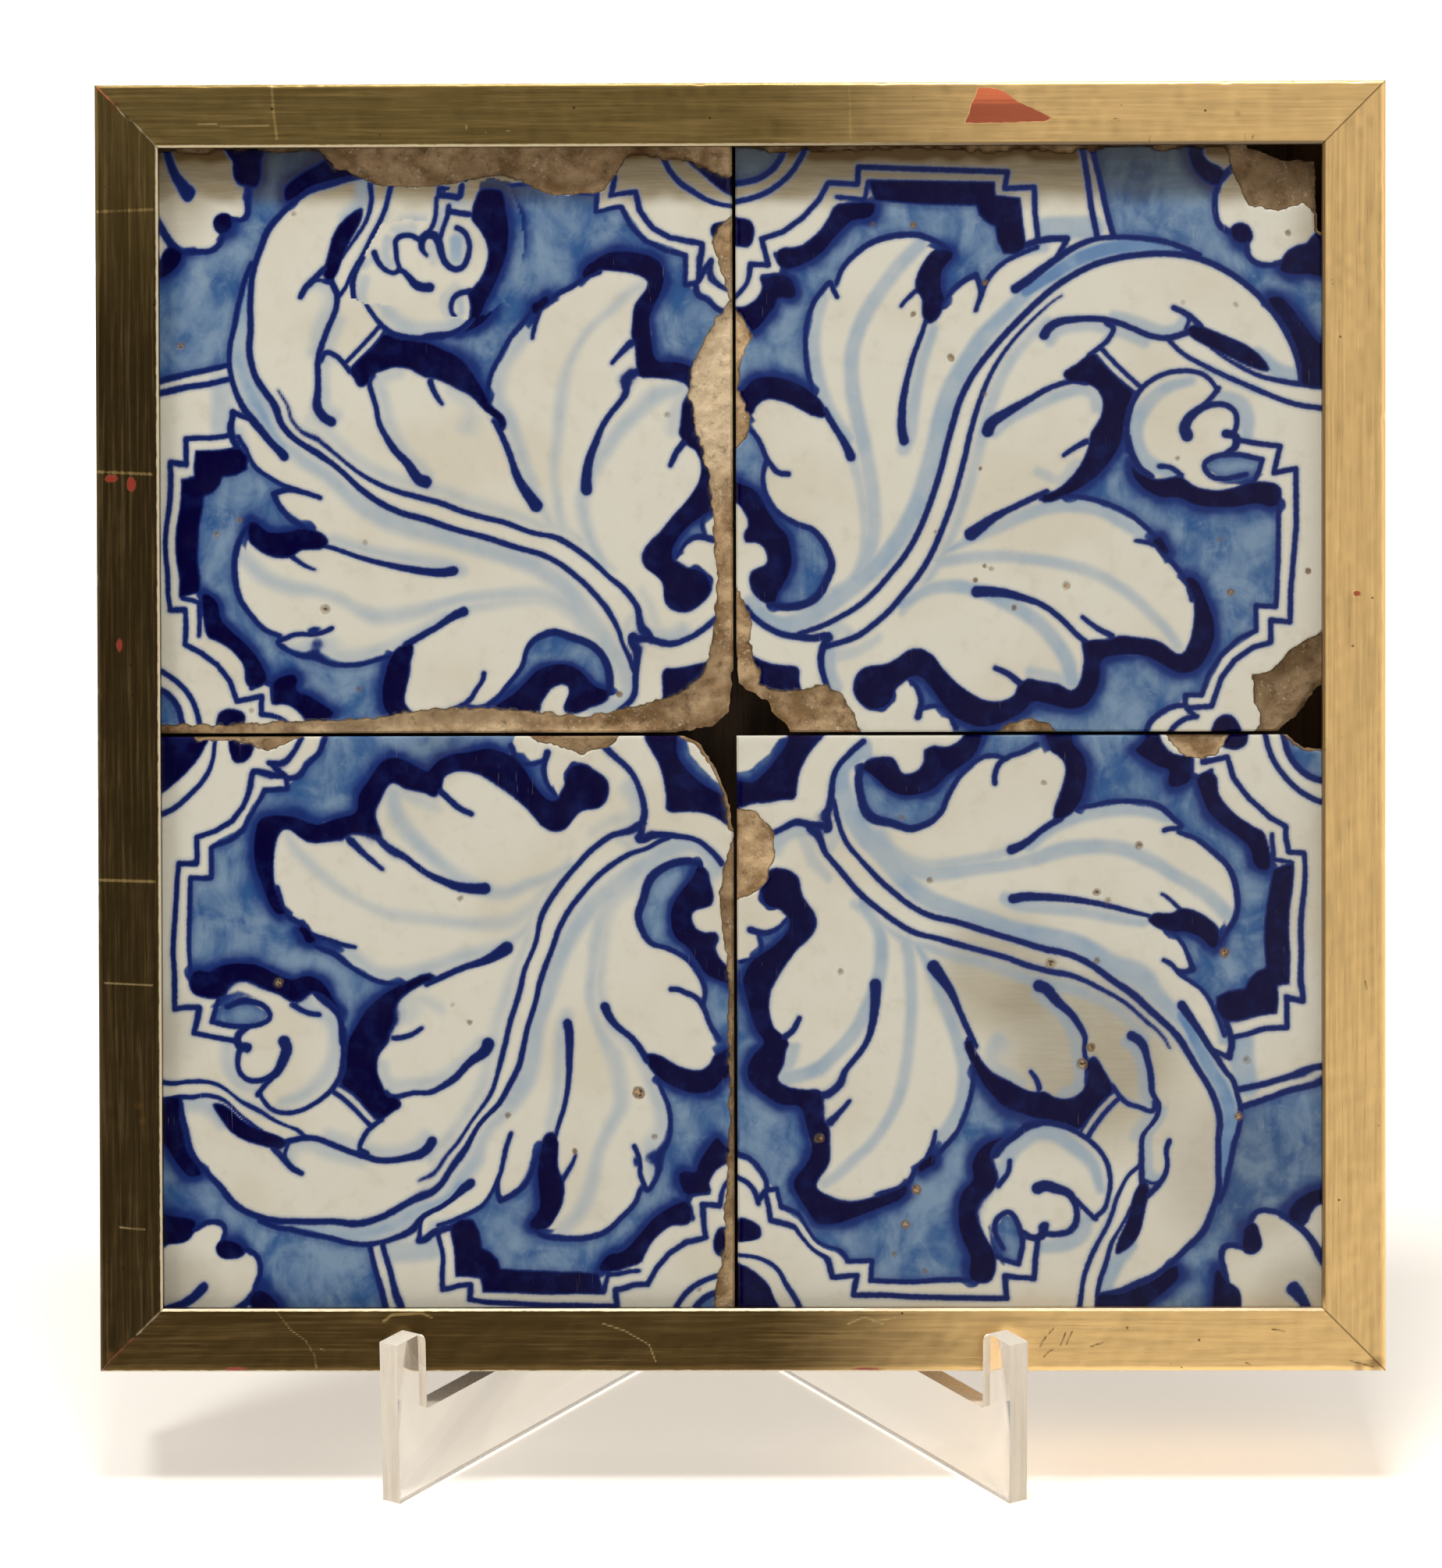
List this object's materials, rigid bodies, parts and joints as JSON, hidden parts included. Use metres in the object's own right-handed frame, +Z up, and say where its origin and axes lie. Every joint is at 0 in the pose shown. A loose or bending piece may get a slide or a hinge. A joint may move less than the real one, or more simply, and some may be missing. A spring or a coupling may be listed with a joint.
{
  "type": "framed tile panel on a folding easel",
  "caption": "Square panel of blue and white tin-glazed tiles with leaf scrolls in a flat gilded wooden frame, standing on a clear folding easel.",
  "frame": {"origin": "under the middle of the whole, on the surface that the easel stands on", "axes": "+Z up, -Y out of the tiled face, +X to the right as seen from the front"},
  "size_m": [0.3048, 0.1206, 0.3227],
  "materials": {
    "gilded_wood": "satin",
    "tin_glaze": "gloss",
    "mortar": "matte",
    "stained_plywood": "matte",
    "steel": "satin",
    "brass": "satin",
    "clear_acrylic": "polished"
  },
  "bodies": {
    "spine": {"hinge_pin_lower": "brass", "hinge_pin_upper": "brass"},
    "left_wing": {"easel_wing_left": "clear_acrylic", "hinge_leaf_left_lower": "brass", "hinge_leaf_left_upper": "brass", "rivet_left_lower_1": "brass", "rivet_left_lower_2": "brass", "rivet_left_upper_1": "brass", "rivet_left_upper_2": "brass"},
    "right_wing": {"easel_wing_right": "clear_acrylic", "hinge_leaf_right_lower": "brass", "hinge_leaf_right_upper": "brass", "rivet_right_lower_1": "brass", "rivet_right_lower_2": "brass", "rivet_right_upper_1": "brass", "rivet_right_upper_2": "brass"},
    "framed_panel": {"rail_top": "gilded_wood", "rail_bottom": "gilded_wood", "rail_left": "gilded_wood", "rail_right": "gilded_wood", "v_nail_bottom_left": "steel", "v_nail_bottom_right": "steel", "v_nail_top_right": "steel", "v_nail_top_left": "steel", "tile_top_left": "tin_glaze", "tile_top_right": "tin_glaze", "tile_bottom_left": "tin_glaze", "tile_bottom_right": "tin_glaze", "bed_top_left": "mortar", "bed_top_right": "mortar", "bed_bottom_left": "mortar", "bed_bottom_right": "mortar", "mounting_board": "stained_plywood", "button_screw_left_lower": "steel", "button_screw_left_upper": "steel", "button_screw_right_lower": "steel", "button_screw_right_upper": "steel", "hanger_strap_left": "steel", "hanger_strap_right": "steel", "hanger_screw_left_upper": "steel", "hanger_screw_left_lower": "steel", "hanger_screw_right_upper": "steel", "hanger_screw_right_lower": "steel"},
    "button_left_lower": {"turn_button_left_lower": "brass"},
    "button_left_upper": {"turn_button_left_upper": "brass"},
    "button_right_lower": {"turn_button_right_lower": "brass"},
    "button_right_upper": {"turn_button_right_upper": "brass"},
    "ring_left": {"hanger_ring_left": "steel"},
    "ring_right": {"hanger_ring_right": "steel"}
  },
  "joints": [
    {"name": "panel_lift", "type": "slide", "parent": "spine", "child": "framed_panel", "axis": [0, 0, 1], "range_m": [0, 0.2]},
    {"name": "left_wing_fold", "type": "hinge", "parent": "spine", "child": "left_wing", "pos_m": [-0.0089, 0.04729, 0.095], "axis": [0, 0, 1], "range_deg": [0, 32.5]},
    {"name": "right_wing_fold", "type": "hinge", "parent": "spine", "child": "right_wing", "pos_m": [-0.0089, 0.04729, 0.095], "axis": [0, 0, 1], "range_deg": [-32.5, 0]},
    {"name": "turn_left_lower", "type": "hinge", "parent": "framed_panel", "child": "button_left_lower", "pos_m": [-0.14725, -0.00533, 0.06623], "axis": [0, 0.9659, -0.2588], "continuous": true},
    {"name": "turn_left_upper", "type": "hinge", "parent": "framed_panel", "child": "button_left_upper", "pos_m": [-0.14725, 0.04902, 0.26907], "axis": [0, 0.9659, -0.2588], "continuous": true},
    {"name": "turn_right_lower", "type": "hinge", "parent": "framed_panel", "child": "button_right_lower", "pos_m": [0.14725, -0.00533, 0.06623], "axis": [0, 0.9659, -0.2588], "continuous": true},
    {"name": "turn_right_upper", "type": "hinge", "parent": "framed_panel", "child": "button_right_upper", "pos_m": [0.14725, 0.04902, 0.26907], "axis": [0, 0.9659, -0.2588], "continuous": true},
    {"name": "ring_left_swing", "type": "hinge", "parent": "framed_panel", "child": "ring_left", "pos_m": [-0.14725, 0.04074, 0.23236], "axis": [1, 0, 0], "range_deg": [-3, 160]},
    {"name": "ring_right_swing", "type": "hinge", "parent": "framed_panel", "child": "ring_right", "pos_m": [0.14725, 0.04074, 0.23236], "axis": [1, 0, 0], "range_deg": [-3, 160]}
  ],
  "couplings": [
    {"joint": "left_wing_fold", "follows": "panel_lift", "rad_per_m": 2.83},
    {"joint": "right_wing_fold", "follows": "panel_lift", "rad_per_m": -2.83}
  ]
}
